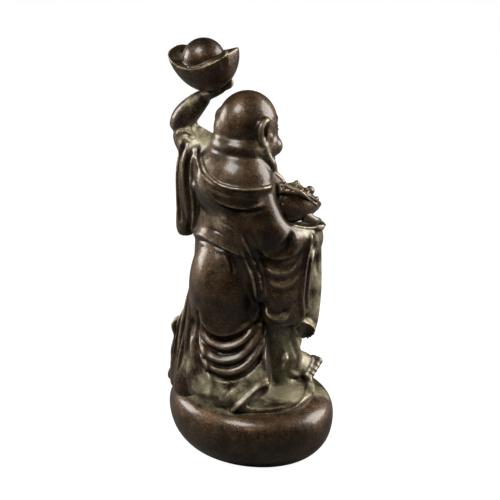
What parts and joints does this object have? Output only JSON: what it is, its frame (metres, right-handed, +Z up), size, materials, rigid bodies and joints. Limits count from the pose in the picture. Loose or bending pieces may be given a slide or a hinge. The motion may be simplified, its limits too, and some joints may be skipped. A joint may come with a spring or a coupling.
{
  "type": "budai figure",
  "caption": "Standing Budai in dark bronze, an ingot raised in his left hand and a toad on his right, cast in one with its round cushion base",
  "frame": {"origin": "middle of the cushion's flat underside", "axes": "+Z up; the figure faces -Y, and +X is towards his left hand, which holds the ingot up"},
  "size_m": [0.078, 0.065, 0.1747],
  "materials": {
    "bronze": "dark brown patinated bronze, rubbed to a semi gloss on the high parts, with dry olive grey patina in the hollows"
  },
  "bodies": {
    "root": {"budai_figure": "bronze"}
  },
  "joints": []
}
